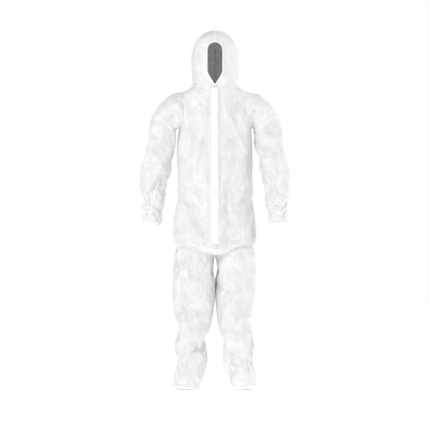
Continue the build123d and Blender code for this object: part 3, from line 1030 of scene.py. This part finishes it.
# ---- gathered hems
hems = {
    "width": 17 * mm,
    "height": 6.6 * mm,
    "faceWidth": 7.5 * mm,
    "faceHeight": 4.6 * mm,
    "pleats": 26,
    "steps": 156,
}


def hemPath(end, along, wide, deep):
    across = Vector((0, 1, 0)).cross(along).normalized()
    path = []
    for i in range(hems["steps"]):
        angle = 2 * math.pi * i / hems["steps"]
        out = across * math.cos(angle) + Vector((0, 1, 0)) * math.sin(angle)
        point = end - along * hems["width"] / 2 + across * math.cos(angle) * wide + Vector((0, 1, 0)) * math.sin(angle) * deep
        path.append((point, out))
    return path


def hemRipple(i):
    angle = 2 * math.pi * i / hems["steps"]
    wave = math.sin(hems["pleats"] * angle + 2 * noise.noise(Vector((3 * math.cos(angle), 3 * math.sin(angle), 0))))
    return 1 + 0.16 * wave, 0.9 * mm * wave


for side in sides:
    for name, (end, along), body, kind, wide, deep in (
            ("wrist", wristFrame(sides[side]), "forearm", "sleeve", *cutShape["wristHem"]),
            ("ankle", ankleFrame(sides[side]), "shin", "leg", *cutShape["ankleHem"])):
        hem = bandAlong(f"{side}_{name}_cuff", hemPath(end, along, wide, deep), True, hems["width"], hems["height"],
                        0, square=0.6, ripple=hemRipple)
        dress(hem, "folded_cloth", f"{side}_{name}_hem", f"{side}_{name}_elastic")
        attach(hem, f"{side}_{body}")
        trim(side, kind, hem)

rim = [(v.co.copy(), v.normal.copy()) for v in faceRim(cloth)]
rimPath = evenPath(rim, 3.2 * mm, True, smooth=2)
faceHem = bandAlong("face_opening_hem", rimPath, True, hems["faceWidth"], hems["faceHeight"], 0.6 * mm, square=0.75,
                    ripple=lambda i: (1 + 0.14 * math.sin(i * 1.9), 0.5 * mm * math.sin(i * 1.9)))
dress(faceHem, "folded_cloth", "hood_face_hem", "hood_face_elastic")
bend(trim("left", "hood", faceHem), "hood", "left")
print("hems gathered")

# ---- the storm flap over the zip, and what is sewn round it
flap = {
    "hinge": -21 * mm,
    "free": 19 * mm,
    "top": 7 * mm,
    "bottom": 784 * mm,
    "edge": 1.3 * mm,  # how far its two edges stand off the front line, and the middle beyond them
    "rise": 9.4 * mm,
    "thickness": 0.8 * mm,
    "endTaper": 9 * mm,
    "wave": 1.2 * mm,
    "stitchPitch": 4.2 * mm,
    "stitchLength": 2.9 * mm,
    "stitchWidth": 0.7 * mm,
}
downFront = Vector((0, -suit["frontLean"], -1)).normalized()
outFront = Vector((0, -1, suit["frontLean"])).normalized()
frontStart = Vector((0, suit["frontTop"], 0))


def onFront(x, down, out):
    return frontStart + Vector((x, 0, 0)) + downFront * down + outFront * out


def flapOut(u, down):
    # the flap is arched over the zip; its ends are nearly flat
    toEnd = min(down - flap["top"], flap["bottom"] - down)
    full = min(1, 0.35 + 0.65 * toEnd / flap["endTaper"])
    ripple = 0.5 + 0.5 * noise.noise(Vector((u * 1.4, down / (55 * mm), 1)))
    return flap["edge"] + full * (flap["rise"] * (1 - u * u) ** 0.62 + ripple * flap["wave"] * (1 - u * u))


def makeFlap():
    across, steps = 18, 200
    bm = bmesh.new()
    bmesh.ops.create_grid(bm, x_segments=across, y_segments=steps, size=1)
    middle, half = (flap["hinge"] + flap["free"]) / 2, (flap["free"] - flap["hinge"]) / 2
    for v in bm.verts:
        u, t = v.co.x, (1 - v.co.y) / 2
        down = flap["top"] + t * (flap["bottom"] - flap["top"])
        edge = 0.9 * mm * noise.noise(Vector((9, down / (38 * mm), 0))) * max(0, u)
        v.co = onFront(middle + u * half + edge, down, flapOut(u, down))
    bmesh.ops.recalc_face_normals(bm, faces=bm.faces)
    if sum(f.normal.y for f in bm.faces) > 0:
        bmesh.ops.reverse_faces(bm, faces=bm.faces)
    for face in bm.faces:
        face.smooth = True
    piece = newPiece("storm_flap_strip", bm)
    mod = piece.modifiers.new("thickness", "SOLIDIFY")
    mod.thickness, mod.offset = flap["thickness"], -1
    applyModifiers(piece)
    piece.data.set_sharp_from_angle(angle=panel["sharpFrom"])
    dress(piece, "folded_cloth", "storm_flap")
    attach(piece, "storm_flap")
    return piece


def stitchRow(name, points, body):
    # a running stitch: short rounded lengths of thread, one after another along the points
    bm = bmesh.new()
    walked, due = 0.0, 0.0
    for (a, normal), (b, _) in zip(points, points[1:]):
        length = (b - a).length
        while due < walked + length:
            tangent = (b - a).normalized()
            across = tangent.cross(normal).normalized()
            out = across.cross(tangent).normalized()
            place = Matrix((tangent, across, out)).transposed().to_4x4()
            place.translation = a + tangent * (due - walked)
            size = Matrix.Diagonal((flap["stitchLength"] / 2, flap["stitchWidth"] / 2, flap["stitchWidth"] / 2, 1))
            bmesh.ops.create_uvsphere(bm, u_segments=6, v_segments=4, radius=1,
                                      matrix=place @ size @ Matrix.Rotation(math.pi / 2, 4, "Y"))
            due += flap["stitchPitch"]
        walked += length
    for face in bm.faces:
        face.smooth = True
    piece = dress(newPiece(name, bm), "label")
    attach(piece, body)
    return piece


flapPiece = makeFlap()
flapSteps = between((flap["top"] + 4 * mm,), (flap["bottom"] - 4 * mm,), 120)
for name, u in (("hinge", -0.86), ("free", 0.84)):
    line = [(onFront(-1 * mm + u * 20 * mm, down, flapOut(u, down) + 0.1 * mm), outFront) for down, in flapSteps]
    stitchRow(f"flap_{name}_stitches", line, "storm_flap")
edgeLine = evenPath(frontPath(between((-26, -10), (-26, -788), 150)), 6 * mm, False)
edgeBand = bandAlong("flap_stitched_band", edgeLine, False, 9 * mm, 1.4 * mm, 0.3 * mm)
dress(edgeBand, "folded_cloth", "flap_stitched_edge")
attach(edgeBand, "trunk")
edgeStitches = stitchRow("flap_band_stitches", [(p + n * 1.1 * mm, n) for p, n in edgeLine], "trunk")
placket = evenPath(frontPath(between((-22, -795), (128, -806), 40)), 4 * mm, False)
placketBand = bandAlong("placket_end_band", placket, False, 5 * mm, 1.4 * mm, 0.2 * mm)
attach(dress(placketBand, "cloth"), "trunk")
placketStitches = stitchRow("placket_stitches", [(p + n * 1.4 * mm, n) for p, n in placket], "trunk")
print("flap sewn on")

# ---- the zip keeps its CAD shapes and gets its finishes
for node, slot in (("left_zip_tape", "zip_tape"), ("right_zip_tape", "zip_tape"), ("left_zip_coil", "zip_teeth"),
                   ("right_zip_coil", "zip_teeth"), ("zip_slider", "zip_metal"), ("zip_puller", "zip_metal"),
                   ("zip_top_stops", "zip_metal"), ("zip_bottom_stop", "zip_metal"), ("size_label", "label")):
    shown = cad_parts[node]
    for materialSlot in shown.material_slots:
        materialSlot.material = paints[slot]

for (side, kind), piece in panels.items():
    "gathered" if kind in ("sleeve", "leg") else "hung"
    [f"{side}_armhole_seam_band"] if kind == "sleeve" else ["neck_seam"]

# ---- studio
studio = {
    "cameraPlace": (0, -9, -0.64),
    "view": 2.15,  # metres across the picture at the suit
    "floorDrop": 2 * mm,
    "worldLight": 0.52,
    "worldSeen": 1.0,
    "lights": (("key", (-2.6, -3.6, 2.2), 105, 1.4), ("rim", (3.4, 0.6, 1.2), 60, 1.6), ("low", (1.8, -4.2, -0.4), 16, 2.0)),
}


def floorPaint():
    paint = Paint("pale floor", {"Roughness": 0.9, "Specular IOR Level": 0.1, "Emission Strength": 0.52,
                                 "Emission Color": (1, 1, 1, 1)})
    paint.colour(paint.blend(paint.noise((3, 3, 3)), grey(0.93), grey(0.96)))
    return paint.material


low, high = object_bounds()
floorMesh = bmesh.new()
bmesh.ops.create_grid(floorMesh, x_segments=1, y_segments=1, size=9,
                      matrix=Matrix.Translation((0, 0, low.z - studio["floorDrop"])))
floor = newPiece("floor", floorMesh)
floor.data.materials.append(floorPaint())

camData = bpy.data.cameras.new("camera")
camData.sensor_width = 36
camData.lens = -camData.sensor_width * studio["cameraPlace"][1] / studio["view"]
camera = bpy.data.objects.new("camera", camData)
camera.location = studio["cameraPlace"]
camera.rotation_euler = (math.pi / 2, 0, 0)
bpy.context.scene.collection.objects.link(camera)
bpy.context.scene.camera = camera
middle = Vector((0, 0, (low.z + high.z) / 2))
for name, place, power, size in studio["lights"]:
    lightData = bpy.data.lights.new(name, "AREA")
    lightData.energy, lightData.size = power, size
    lamp = bpy.data.objects.new(name, lightData)
    lamp.location = place
    lamp.rotation_euler = (middle - Vector(place)).to_track_quat("-Z", "Y").to_euler()
    bpy.context.scene.collection.objects.link(lamp)
world = bpy.data.worlds.new("studio")
world.use_nodes = True
bpy.context.scene.world = world
sky = world.node_tree
seen = sky.nodes["Background"]
seen.inputs["Color"].default_value = (1, 1, 1, 1)
seen.inputs["Strength"].default_value = studio["worldSeen"]
lit = sky.nodes.new("ShaderNodeBackground")
lit.inputs["Strength"].default_value = studio["worldLight"]
lit.inputs["Color"].default_value = (1, 0.995, 0.99, 1)
path = sky.nodes.new("ShaderNodeLightPath")
mix = sky.nodes.new("ShaderNodeMixShader")
sky.links.new(path.outputs["Is Camera Ray"], mix.inputs[0])
sky.links.new(lit.outputs[0], mix.inputs[1])
sky.links.new(seen.outputs[0], mix.inputs[2])
sky.links.new(mix.outputs[0], sky.nodes["World Output"].inputs["Surface"])
bpy.context.scene.view_settings.view_transform = "Standard"
print("studio lit")

dropPiece(garment)
cloth.free()
